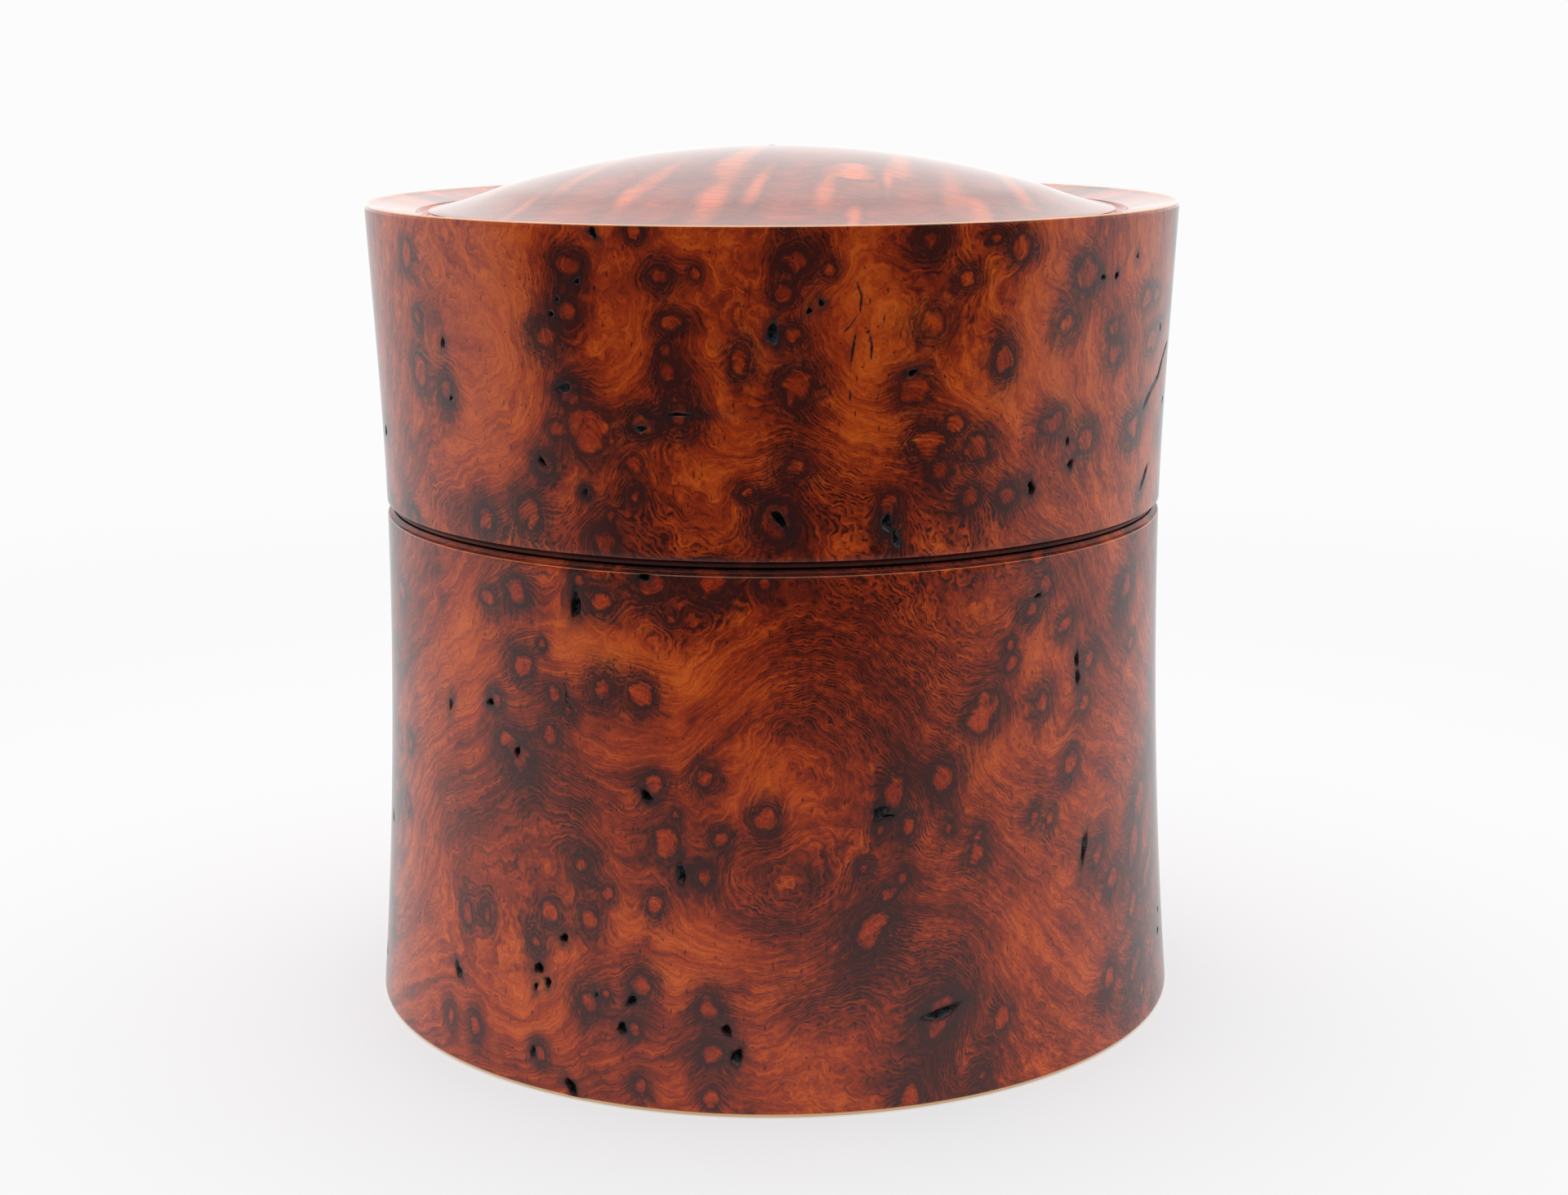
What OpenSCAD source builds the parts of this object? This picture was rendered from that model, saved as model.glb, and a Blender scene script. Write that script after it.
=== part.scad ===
// Turned burl tea caddy: a waisted body, a lid with a domed crown inside a raised ring,
// a neck sleeve glued in the body that the lid slides over, and an inner lid with a knob.
// Millimetres, +Z up, origin at the centre of the base.

/* [Overall form] */
// Diameter at the lid's upper rim
rim_d = 84; // [82:0.2:102]
// Height of the rim above the base
rim_h = 83.9; // [80:0.1:110]
// Greatest diameter, just above the base
foot_d = 85.6; // [82:0.1:104]
// Diameter at the narrowest point of the waist
waist_d = 81.4; // [80:0.1:98]
// Height of the narrowest point of the waist
waist_h = 50; // [38:1:60]
// Lean of the wall from upright at the rim, degrees
rim_lean = 2.7; // [0:0.1:6]
// Lean of the wall from upright at the foot, degrees
foot_lean = 4.9; // [0:0.1:8]
// Height of the joint between body and lid
seam_h = 52.5; // [43:0.5:56]

/* [Seam groove] */
// How far the groove is cut in from the wall
groove_depth = 0.6; // [0.3:0.05:1]
// Height of the cove on the lid's lower edge
lid_cove_h = 0.6; // [0.3:0.05:1.5]
// Height of the cove on the body's upper edge
body_cove_h = 0.5; // [0.3:0.05:1.5]
// Height of the slot left open between lid and body outside the land that the lid rests on
seam_gap = 0.25; // [0.05:0.05:0.4]
// Width of that land, next to the sleeve
land_w = 1.5; // [0.8:0.1:2]

/* [Body] */
// Diameter of the tea chamber
bore_d = 67.2; // [54:0.2:68]
// Thickness of the floor above the foot recess
floor_t = 5.5; // [3:0.1:9]
// Radius of the cove where the chamber wall meets the floor
floor_cove = 6; // [2:0.5:10]
// Radius of the rounding on the base's outer edge
foot_round = 0.5; // [0.2:0.1:1.5]
// Width of the ring that the caddy stands on
foot_ring_w = 6; // [3:0.5:10]
// Depth of the recess inside the foot ring
foot_recess = 1.2; // [0.5:0.1:2.5]

/* [Neck sleeve] */
// Wall thickness of the sleeve
sleeve_wall = 2.6; // [1.8:0.1:3.2]
// Length of the sleeve glued inside the body
sleeve_seat = 12; // [6:0.5:20]
// Length of the sleeve standing above the seam
sleeve_rise = 13; // [6:0.2:15.6]
// Chamfer on the sleeve's upper edges
sleeve_chamfer = 0.5; // [0.2:0.1:0.7]
// Radial gap that the glue fills
glue_gap = 0.03; // [0.01:0.01:0.1]

/* [Lid] */
// Radial running clearance between lid and sleeve
lid_clearance = 0.1; // [0.05:0.05:0.3]
// Fall of the top ring from the rim in to the groove
ring_fall = 0.9; // [0.2:0.1:2]
// Width of the top ring
ring_w = 5.2; // [3:0.1:8]
// Width of the groove round the dome
dome_groove_w = 1.3; // [0.8:0.1:3]
// Depth of that groove below the ring's inner edge
dome_groove_depth = 0.6; // [0.3:0.1:1.5]
// Height of the dome's edge above the ring's inner edge
dome_edge_rise = 0.1; // [0:0.05:0.6]
// Rise of the dome's centre above the rim
dome_rise = 5.45; // [3:0.1:7]
// Radius over which the dome is a round cap, outside which its flank is nearly straight
dome_cap_r = 28; // [18:1:32]
// Hollowing of the dome's flank
flank_sag = 0.2; // [0:0.05:0.5]
// Thickness of the crown at its centre
crown_t = 6.5; // [4:0.5:9]
// Height of the ceiling's edge below the rim
ceiling_drop = 6.5; // [5:0.5:10]
// Radius of the cove where the lid's wall meets its ceiling
ceiling_cove = 4; // [1:0.5:6]

/* [Inner lid] */
// Radial clearance of the inner lid's plug in the sleeve
plug_clearance = 0.1; // [0.05:0.05:0.3]
// Depth of the plug below the sleeve's top
plug_depth = 6; // [3:0.5:10]
// Thickness of the flange that rests on the sleeve
flange_t = 2.2; // [1.5:0.1:3]
// How far the flange stops short of the sleeve's outside
flange_inset = 0.3; // [0.1:0.1:1]
// Width of the flat margin left round the dish
dish_margin = 3.2; // [2:0.2:6]
// Depth of the dish turned into the inner lid's top
dish_depth = 0.9; // [0.3:0.1:1.2]
// Depth of the hollow in the plug's underside
plug_hollow = 2; // [0.5:0.5:2.5]

/* [Knob] */
// Greatest diameter of the knob
knob_d = 12; // [9:0.5:18]
// Height of the knob above the dish
knob_h = 8.5; // [5:0.5:9]
// Diameter of the knob's neck
knob_neck_d = 6; // [4:0.5:7.5]
// Diameter of the tenon glued into the inner lid
tenon_d = 5; // [3:0.5:6]
// Length of the tenon
tenon_l = 3.6; // [2:0.1:4]

/* [Hidden] */
$fn = 128;

WALL_STEPS = 10;    // straight steps that follow each sweep of the wall
COVE_STEPS = 6;     // steps round a small cove
DOME_STEPS = 12;    // steps across the dome's cap, and across the ceiling

burl = [0.56, 0.20, 0.07];
sleeve_wood = [0.30, 0.13, 0.07];
inner_wood = [0.46, 0.20, 0.09];

waist_r = waist_d / 2;
bore_r = bore_d / 2;
sleeve_r = bore_r + sleeve_wall;
seat_r = sleeve_r + glue_gap;                   // rebate in the body for the sleeve
skirt_r = sleeve_r + lid_clearance;             // inside of the lid's wall
sleeve_bottom = seam_h - sleeve_seat;
sleeve_top = seam_h + sleeve_rise;
ring_in_r = rim_d / 2 - ring_w;
ring_in_z = rim_h - ring_fall;
dome_r = ring_in_r - dome_groove_w;             // edge of the dome
dome_edge_z = ring_in_z + dome_edge_rise;
dome_top_z = rim_h + dome_rise;
ceiling_z = rim_h - ceiling_drop;
dish_z = sleeve_top + flange_t - dish_depth;
plug_r = bore_r - plug_clearance;
flange_r = sleeve_r - flange_inset;

// Cubic that leaves the waist upright and reaches its end with a given lean
function sweep(t, reach, lean_reach) = (3 * reach - lean_reach) * t * t + (lean_reach - 2 * reach) * t * t * t;
// Outer radius of the caddy at a height
function wall_r(z) = z > waist_h
    ? waist_r + sweep((z - waist_h) / (rim_h - waist_h), (rim_d - waist_d) / 2,
                      (rim_h - waist_h) * tan(rim_lean))
    : waist_r + sweep((waist_h - z) / (waist_h - foot_round), (foot_d - waist_d) / 2,
                      (waist_h - foot_round) * tan(foot_lean));

// Points up the outer wall from one height to another, without the first
function wall(z0, z1) =
    [for (i = [1:WALL_STEPS]) let (z = z0 + (z1 - z0) * i / WALL_STEPS) [wall_r(z), z]];
// Points on a quarter or half ellipse about a centre from angle a0 to a1, without the first
function cove(cx, cz, rx, rz, a0, a1) =
    [for (i = [1:COVE_STEPS]) let (a = a0 + (a1 - a0) * i / COVE_STEPS) [cx + rx * cos(a), cz + rz * sin(a)]];

// The dome is a cap that runs out into a nearly straight, slightly hollow flank. The cap's
// curvature is the one that brings the flank down to the dome's edge.
cap_curve = dome_cap_r * (2 * dome_r - dome_cap_r) / (2 * (dome_top_z - dome_edge_z));
function flank_z(r) = let (t = (r - dome_cap_r) / (dome_r - dome_cap_r))
    dome_edge_z + (dome_r - r) * dome_cap_r / cap_curve - flank_sag * 4 * t * (1 - t);
function dome_z(r) = r < dome_cap_r ? dome_top_z - r * r / (2 * cap_curve) : flank_z(r);
// Underside of the crown, a shallow cap
function ceiling_at(t) = dome_top_z - crown_t - (dome_top_z - crown_t - ceiling_z) * t * t;

module turned(points) {
    rotate_extrude() polygon(points);
}

module body() {
    foot_r = foot_d / 2 - foot_round;
    floor_z = foot_recess + floor_t;
    arris_z = seam_h - body_cove_h;
    arris_r = wall_r(arris_z);
    color(burl)
        turned(concat(
            [[0, foot_recess], [foot_r - foot_ring_w, foot_recess],
             [foot_r - foot_ring_w + foot_recess, 0], [foot_r, 0]],
            cove(foot_r, foot_round, foot_round, foot_round, -90, 0),
            wall(foot_round, arris_z),
            cove(arris_r, seam_h, groove_depth, body_cove_h, 270, 180),
            [[seat_r, seam_h], [seat_r, sleeve_bottom], [bore_r, sleeve_bottom],
             [bore_r, floor_z + floor_cove]],
            cove(bore_r - floor_cove, floor_z + floor_cove, floor_cove, floor_cove, 0, -90),
            [[0, floor_z]]
        ));
}

module neck_sleeve() {
    color(sleeve_wood)
        turned([
            [bore_r, sleeve_bottom], [sleeve_r, sleeve_bottom],
            [sleeve_r, sleeve_top - sleeve_chamfer], [sleeve_r - sleeve_chamfer, sleeve_top],
            [bore_r + sleeve_chamfer, sleeve_top], [bore_r, sleeve_top - sleeve_chamfer]
        ]);
}

module inner_lid() {
    flange_top = sleeve_top + flange_t;
    plug_bottom = sleeve_top - plug_depth;
    hollow_r = plug_r - 4;
    plug_edge = 0.6;
    dish_r = flange_r - flange_t / 2 - dish_margin;
    dish_cove = 2;
    color(inner_wood)
        difference() {
            turned(concat(
                [[0, plug_bottom + plug_hollow], [hollow_r - plug_hollow, plug_bottom + plug_hollow],
                 [hollow_r, plug_bottom], [plug_r - plug_edge, plug_bottom],
                 [plug_r, plug_bottom + plug_edge], [plug_r, sleeve_top], [flange_r, sleeve_top],
                 [flange_r, sleeve_top + flange_t / 2]],
                cove(flange_r - flange_t / 2, sleeve_top + flange_t / 2, flange_t / 2, flange_t / 2, 0, 90),
                [[dish_r, flange_top]],
                cove(dish_r - dish_cove, flange_top, dish_cove, dish_depth, 0, -90),
                [[0, dish_z]]
            ));
            translate([0, 0, dish_z - tenon_l])
                cylinder(d = tenon_d + 2 * glue_gap, h = tenon_l + 1);
        }
}

module inner_lid_knob() {
    head_r = knob_d / 2;
    neck_r = knob_neck_d / 2;
    base_r = head_r * 0.86;
    base_z = dish_z + knob_h * 0.12;
    neck_z = dish_z + knob_h * 0.42;
    head_z = dish_z + knob_h * 0.74;
    tenon_edge = 0.3;
    color(inner_wood)
        turned(concat(
            [[0, dish_z - tenon_l], [tenon_d / 2 - tenon_edge, dish_z - tenon_l],
             [tenon_d / 2, dish_z - tenon_l + tenon_edge], [tenon_d / 2, dish_z],
             [base_r, dish_z], [base_r, base_z]],
            cove(base_r, neck_z, base_r - neck_r, neck_z - base_z, 270, 180),
            cove(head_r, neck_z, head_r - neck_r, head_z - neck_z, 180, 90),
            cove(0, head_z, head_r, dish_z + knob_h - head_z, 0, 90)
        ));
}

module lid() {
    bottom_z = seam_h + seam_gap;
    arris_z = bottom_z + lid_cove_h;
    arris_r = wall_r(arris_z);
    groove_mid = (ring_in_r + dome_r) / 2;
    ceiling_r = skirt_r - ceiling_cove;
    color(burl)
        turned(concat(
            [[skirt_r, seam_h], [skirt_r + land_w, seam_h], [skirt_r + land_w, bottom_z],
             [arris_r - groove_depth, bottom_z]],
            cove(arris_r, bottom_z, groove_depth, lid_cove_h, 180, 90),
            wall(arris_z, rim_h),
            [[ring_in_r, ring_in_z]],
            cove(groove_mid, ring_in_z, dome_groove_w / 2, dome_groove_depth, 0, -180),
            [for (i = [0:DOME_STEPS]) let (r = dome_r - (dome_r - dome_cap_r) * i / DOME_STEPS) [r, dome_z(r)]],
            [for (i = [1:DOME_STEPS]) let (r = dome_cap_r * (1 - i / DOME_STEPS)) [r, dome_z(r)]],
            [for (i = [0:DOME_STEPS]) let (t = i / DOME_STEPS) [ceiling_r * t, ceiling_at(t)]],
            cove(ceiling_r, ceiling_z - ceiling_cove, ceiling_cove, ceiling_cove, 90, 0)
        ));
}

body();
neck_sleeve();
inner_lid();
inner_lid_knob();
lid();
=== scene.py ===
"""Turned burl tea caddy: pot, neck sleeve, inner lid, its knob and the lift-off lid.

All lengths below are in millimetres, and become metres when a mesh is made. The turning axis is
Z, the caddy stands on z = 0, and -Y faces the viewer. Angles round the wall are in degrees from
the front, positive towards +X.

The burl was grown as one block. Its buds all start near one growth centre behind and above the
caddy and run outwards from it as long thin spikes, so an eye is round where the wall cuts its
spike squarely and drawn out where the cut is slanting. The growth rings are shells about the same
centre, lifted into cones where a bud passes.
"""

import math

import bmesh
import bpy
import numpy as np
from mathutils import Matrix, Vector


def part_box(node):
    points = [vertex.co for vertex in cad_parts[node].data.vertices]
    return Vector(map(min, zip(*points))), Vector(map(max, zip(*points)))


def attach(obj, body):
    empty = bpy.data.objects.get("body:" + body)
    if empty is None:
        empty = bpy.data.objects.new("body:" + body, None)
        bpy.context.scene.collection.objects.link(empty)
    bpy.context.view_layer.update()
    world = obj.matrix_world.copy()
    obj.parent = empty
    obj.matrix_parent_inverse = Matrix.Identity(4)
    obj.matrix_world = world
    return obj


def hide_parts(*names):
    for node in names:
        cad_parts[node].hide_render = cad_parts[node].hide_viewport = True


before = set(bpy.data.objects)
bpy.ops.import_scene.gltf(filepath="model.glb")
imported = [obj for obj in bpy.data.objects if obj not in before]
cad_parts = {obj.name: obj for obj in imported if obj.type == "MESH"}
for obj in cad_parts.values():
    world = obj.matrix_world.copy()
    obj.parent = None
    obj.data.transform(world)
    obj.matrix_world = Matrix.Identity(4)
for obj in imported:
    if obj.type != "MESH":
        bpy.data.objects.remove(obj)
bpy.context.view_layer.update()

MM = 0.001


def in_mm(corner):
    return [c / MM for c in corner]


BODY_BOX = [in_mm(c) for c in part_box("body")]
LID_BOX = [in_mm(c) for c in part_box("lid")]
SLEEVE_BOX = [in_mm(c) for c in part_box("neck_sleeve")]
INNER_BOX = [in_mm(c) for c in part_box("inner_lid")]
KNOB_BOX = [in_mm(c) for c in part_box("inner_lid_knob")]

# ---------------------------------------------------------------- sizes of the turning
FOOT_R = BODY_BOX[1][0]
SEAM_Z = BODY_BOX[1][2]
DOME_TOP_Z = LID_BOX[1][2]
RIM_R = 42.0
RIM_Z = 83.9
WAIST_R = 40.7
WAIST_Z = 50.0
RIM_LEAN = math.radians(2.7)
FOOT_LEAN = math.radians(4.9)
FOOT_ROUND = 0.5
RIM_ROUND = 0.2
ARRIS_ROUND = 0.15

GROOVE_DEPTH = 0.6
LID_COVE_H = 0.6
BODY_COVE_H = 0.5
SEAM_GAP = 0.25
LAND_W = 1.5

BORE_R = 33.6
SLEEVE_R = SLEEVE_BOX[1][0]
SLEEVE_BOTTOM_Z = SLEEVE_BOX[0][2]
SLEEVE_TOP_Z = SLEEVE_BOX[1][2]
GLUE_GAP = 0.03
SEAT_R = SLEEVE_R + GLUE_GAP
SKIRT_R = SLEEVE_R + 0.1
FLOOR_Z = 6.7
FLOOR_COVE = 6.0
FOOT_RECESS = 1.2
FOOT_RING_W = 6.0

RING_IN_R = 36.8
RING_IN_Z = 83.0
DOME_GROOVE_W = 1.3
DOME_GROOVE_DEPTH = 0.6
DOME_R = RING_IN_R - DOME_GROOVE_W
DOME_EDGE_Z = RING_IN_Z + 0.1
DOME_CAP_R = 28.0
FLANK_SAG = 0.2
CROWN_T = 6.5             # thickness of the crown on the axis
CEILING_Z = RIM_Z - CROWN_T
CEILING_COVE = 4.0

EDGE_BAND = 0.55          # width of the top ring's outermost strip, where the lacquer is thin
PLUG_CLEARANCE = 0.1
INNER_DISH = 0.9          # depth of the dish in the inner lid's top
WALL_STEP = 0.42          # spacing of the rows up the wall
DOME_STEP = 0.8           # spacing of the rows across the dome
FRONT_STEP = 0.43         # spacing of the columns over the front
BACK_STEP = 0.85          # and round the back
FRONT_HALF = 76.0         # half the angle over which the columns are close together


# ---------------------------------------------------------------- profiles
def sweep(t, reach, lean_reach):
    """Cubic that leaves the waist upright and ends with a given lean."""
    return (3 * reach - lean_reach) * t ** 2 + (lean_reach - 2 * reach) * t ** 3


def wall_r(z):
    """Outer radius of the caddy at a height."""
    z = np.asarray(z, float)
    up, down = RIM_Z - WAIST_Z, WAIST_Z - FOOT_ROUND
    above = sweep((z - WAIST_Z) / up, RIM_R - WAIST_R, up * math.tan(RIM_LEAN))
    below = sweep((WAIST_Z - z) / down, FOOT_R - WAIST_R, down * math.tan(FOOT_LEAN))
    return WAIST_R + np.where(z > WAIST_Z, above, below)


def dome_z(r):
    """Height of the dome at a radius: a round cap that runs out into a slightly hollow flank."""
    r = np.asarray(r, float)
    curve = DOME_CAP_R * (2 * DOME_R - DOME_CAP_R) / (2 * (DOME_TOP_Z - DOME_EDGE_Z))
    t = (r - DOME_CAP_R) / (DOME_R - DOME_CAP_R)
    flank = DOME_EDGE_Z + (DOME_R - r) * DOME_CAP_R / curve - FLANK_SAG * 4 * t * (1 - t)
    return np.where(r < DOME_CAP_R, DOME_TOP_Z - r ** 2 / (2 * curve), flank)


def line(*points):
    return [tuple(p) for p in points]


def arc(centre_r, centre_z, reach_r, reach_z, start, end, steps=6):
    """Points on an ellipse from one angle to another, in degrees."""
    angles = [math.radians(start + (end - start) * i / steps) for i in range(steps + 1)]
    return [(centre_r + reach_r * math.cos(a), centre_z + reach_z * math.sin(a)) for a in angles]


def wall(z0, z1, step=WALL_STEP):
    """Rows up the outer wall."""
    rows = max(2, round((z1 - z0) / step))
    return [(float(wall_r(z)), z) for z in np.linspace(z0, z1, rows + 1)]


def dome(r0, r1):
    """Rows across the dome, from its edge inwards."""
    rows = round((r0 - r1) / DOME_STEP)
    return [(r, float(dome_z(r))) for r in np.linspace(r0, r1, rows + 1)]


def ceiling(r_end):
    """Rows across the underside of the crown, from the axis outwards."""
    top = DOME_TOP_Z - CROWN_T
    return [(r_end * t, top - (top - CEILING_Z) * t ** 2) for t in np.linspace(0, 1, 15)]


def body_profile():
    arris_z = SEAM_Z - BODY_COVE_H
    arris_r = float(wall_r(arris_z))
    foot_in_r = FOOT_R - FOOT_ROUND
    cove = arc(arris_r, SEAM_Z, GROOVE_DEPTH, BODY_COVE_H, 262, 180)
    return [
        line((0, FOOT_RECESS), (12, FOOT_RECESS), (24, FOOT_RECESS), (foot_in_r - FOOT_RING_W, FOOT_RECESS)),
        arc(foot_in_r - FOOT_RING_W + FOOT_RECESS, FOOT_RECESS, FOOT_RECESS, FOOT_RECESS, 180, 270),
        line((foot_in_r - 2, 0), (foot_in_r, 0)),
        arc(foot_in_r, FOOT_ROUND, FOOT_ROUND, FOOT_ROUND, -90, 0),
        wall(FOOT_ROUND, arris_z - ARRIS_ROUND),
        arc(arris_r - ARRIS_ROUND, arris_z - ARRIS_ROUND, ARRIS_ROUND, ARRIS_ROUND, 20, 80, 4),
        [p for p in cove if p[0] < arris_r - ARRIS_ROUND],
        line((SEAT_R, SEAM_Z), (SEAT_R, SLEEVE_BOTTOM_Z), (BORE_R, SLEEVE_BOTTOM_Z)),
        line((BORE_R, 30), (BORE_R, 20), (BORE_R, FLOOR_Z + FLOOR_COVE)),
        arc(BORE_R - FLOOR_COVE, FLOOR_Z + FLOOR_COVE, FLOOR_COVE, FLOOR_COVE, 0, -90, 10),
        line((18, FLOOR_Z), (9, FLOOR_Z), (0, FLOOR_Z)),
    ]


def lid_profile():
    bottom_z = SEAM_Z + SEAM_GAP
    arris_z = bottom_z + LID_COVE_H
    arris_r = float(wall_r(arris_z))
    cove = arc(arris_r, bottom_z, GROOVE_DEPTH, LID_COVE_H, 180, 98)
    groove_mid = (RING_IN_R + DOME_R) / 2
    edge_r = SKIRT_R - CEILING_COVE
    return [
        line((SKIRT_R, SEAM_Z), (SKIRT_R + LAND_W, SEAM_Z), (SKIRT_R + LAND_W, bottom_z)),
        [p for p in cove if p[0] < arris_r - ARRIS_ROUND],
        arc(arris_r - ARRIS_ROUND, arris_z + ARRIS_ROUND, ARRIS_ROUND, ARRIS_ROUND, -80, -20, 4),
        wall(arris_z + ARRIS_ROUND, RIM_Z - RIM_ROUND),
        arc(RIM_R - RIM_ROUND - 0.01, RIM_Z - RIM_ROUND, RIM_ROUND, RIM_ROUND, 15, 80, 5),
        line((RIM_R - EDGE_BAND, RIM_Z - EDGE_BAND / 5), (RING_IN_R + 3.4, RING_IN_Z + 0.58)),
        line((RING_IN_R + 1.7, RING_IN_Z + 0.29), (RING_IN_R + 0.05, RING_IN_Z)),
        arc(groove_mid, RING_IN_Z, DOME_GROOVE_W / 2, DOME_GROOVE_DEPTH, -12, -168, 8),
        line((DOME_R + 0.04, RING_IN_Z + 0.04)),
        dome(DOME_R - 0.12, 0),
        ceiling(edge_r),
        arc(edge_r, CEILING_Z - CEILING_COVE, CEILING_COVE, CEILING_COVE, 90, 0, 8),
        line((SKIRT_R, 64), (SKIRT_R, 58)),
    ]


def sleeve_profile():
    edge = 0.5
    return [
        line((BORE_R, SLEEVE_BOTTOM_Z), (SLEEVE_R, SLEEVE_BOTTOM_Z)),
        line((SLEEVE_R, SEAM_Z), (SLEEVE_R, 58)),
        arc(SLEEVE_R - edge, SLEEVE_TOP_Z - edge, edge, edge, 0, 90, 6),
        arc(BORE_R + edge, SLEEVE_TOP_Z - edge, edge, edge, 90, 180, 6),
        line((BORE_R, 56), (BORE_R, 48)),
    ]


def inner_lid_profile():
    top = INNER_BOX[1][2]
    bottom = INNER_BOX[0][2]
    flange_r = INNER_BOX[1][0]
    half = (top - SLEEVE_TOP_Z) / 2
    plug_r = BORE_R - PLUG_CLEARANCE
    hollow_r = plug_r - 4
    dish_r = flange_r - half - 3.2
    edge = 0.35
    return [
        line((0, bottom + 2), (14, bottom + 2), (hollow_r - 2, bottom + 2)),
        arc(hollow_r - 2, bottom, 2, 2, 80, 8, 6),
        line((hollow_r + 0.3, bottom), (plug_r - edge, bottom)),
        arc(plug_r - edge, bottom + edge, edge, edge, -75, 0, 4),
        line((plug_r, SLEEVE_TOP_Z), (flange_r, SLEEVE_TOP_Z)),
        arc(flange_r - half, SLEEVE_TOP_Z + half, half, half, 0, 90, 8),
        line((dish_r + 0.2, top)),
        arc(dish_r - 2, top, 2, INNER_DISH, -8, -90, 8),
        line((20, top - INNER_DISH), (8, top - INNER_DISH), (0, top - INNER_DISH)),
    ]


def knob_profile():
    base_z = INNER_BOX[1][2] - INNER_DISH
    top = KNOB_BOX[1][2]
    bottom = KNOB_BOX[0][2]
    height = top - base_z
    head_r = KNOB_BOX[1][0]
    neck_r = 3.0
    base_r = head_r * 0.86
    foot_z = base_z + height * 0.12
    neck_z = base_z + height * 0.42
    head_z = base_z + height * 0.74
    tenon_r = 2.5
    return [
        line((0, bottom), (tenon_r - 0.3, bottom), (tenon_r, bottom + 0.3), (tenon_r, base_z)),
        line((base_r, base_z)),
        arc(base_r - 0.2, foot_z - 0.2, 0.2, 0.2, 0, 80, 3),
        arc(base_r, neck_z, base_r - neck_r, neck_z - foot_z, 262, 180, 14),
        arc(head_r, neck_z, head_r - neck_r, head_z - neck_z, 180, 98, 14),
        arc(head_r - 0.25, head_z + 0.1, 0.25, 0.25, -60, 20, 4),
        arc(0, head_z + 0.1, head_r, top - head_z - 0.1, 18, 90, 18),
    ]


# ---------------------------------------------------------------- turned meshes
def columns_round(front_step, back_step):
    """Angles of the columns, close together over the front and wider round the back."""
    per_degree = math.pi * RIM_R / 180
    front = round(2 * FRONT_HALF * per_degree / front_step)
    back = round((360 - 2 * FRONT_HALF) * per_degree / back_step)
    over_front = np.linspace(-FRONT_HALF, FRONT_HALF, front + 1)
    over_back = np.linspace(FRONT_HALF, 360 - FRONT_HALF, back + 1)[1:-1]
    return np.radians(np.concatenate([over_front, over_back]))


def corner_angle(before, here, after):
    first = Vector((here[0] - before[0], here[1] - before[1]))
    second = Vector((after[0] - here[0], after[1] - here[1]))
    if first.length < 1e-6 or second.length < 1e-6:
        return 0.0
    return math.degrees(abs(first.angle_signed(second)))


def turned(name, profile, angles, sharp_over=32):
    """A closed mesh turned about the axis from stretches of profile, with crisp corners where the
    profile turns by more than sharp_over degrees."""
    rows = []
    for stretch in profile:
        for r, z in stretch:
            if not rows or math.hypot(r - rows[-1][0], z - rows[-1][1]) > 0.004:
                rows.append((max(0.0, float(r)), float(z)))
    ring = rows[0][0] > 0
    n = len(angles)
    sines, cosines = np.sin(angles), np.cos(angles)
    points, starts = [], []
    count = 0
    for r, z in rows:
        starts.append(count)
        if r < 1e-6:
            points.append(np.array([[0, 0, z]]))
            count += 1
        else:
            points.append(np.column_stack([r * sines, -r * cosines, np.full(n, z)]))
            count += n
    faces = []
    pairs = list(zip(range(len(rows)), range(1, len(rows))))
    if ring:
        pairs.append((len(rows) - 1, 0))
    nexts = np.roll(np.arange(n), -1)
    for low, high in pairs:
        a, b = starts[low], starts[high]
        if rows[low][0] < 1e-6:
            faces += [(a, b + nexts[i], b + i) for i in range(n)]
        elif rows[high][0] < 1e-6:
            faces += [(a + i, a + nexts[i], b) for i in range(n)]
        else:
            faces += [(a + i, a + nexts[i], b + nexts[i], b + i) for i in range(n)]
    mesh = bpy.data.meshes.new(name)
    corners = [tuple(int(v) for v in face) for face in faces]
    mesh.from_pydata((np.concatenate(points) * MM).tolist(), [], corners)
    sharp_rows = set()
    for i in range(len(rows)):
        if rows[i][0] < 1e-6:
            continue
        before = rows[i - 1] if i or ring else rows[i]
        after = rows[(i + 1) % len(rows)] if i < len(rows) - 1 or ring else rows[i]
        if corner_angle(before, rows[i], after) > sharp_over:
            sharp_rows.add(i)
    is_sharp = np.zeros(count, bool)
    for i in sharp_rows:
        is_sharp[starts[i]:starts[i] + n] = True
    edges = np.empty(len(mesh.edges) * 2, np.int32)
    mesh.edges.foreach_get("vertices", edges)
    edges = edges.reshape(-1, 2)
    row_of = np.searchsorted(starts, edges, side="right")
    sharp = is_sharp[edges[:, 0]] & (row_of[:, 0] == row_of[:, 1])
    mesh.attributes.new("sharp_edge", "BOOLEAN", "EDGE").data.foreach_set("value", sharp)
    mesh.polygons.foreach_set("use_smooth", np.ones(len(mesh.polygons), bool))
    piece = bpy.data.objects.new(name, mesh)
    bpy.context.scene.collection.objects.link(piece)
    return piece


def vertex_places(mesh):
    places = np.empty(len(mesh.vertices) * 3)
    mesh.vertices.foreach_get("co", places)
    return places.reshape(-1, 3) / MM


def store(mesh, name, values):
    mesh.attributes.new(name, "FLOAT", "POINT").data.foreach_set("value", values.astype(np.float32))


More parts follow.
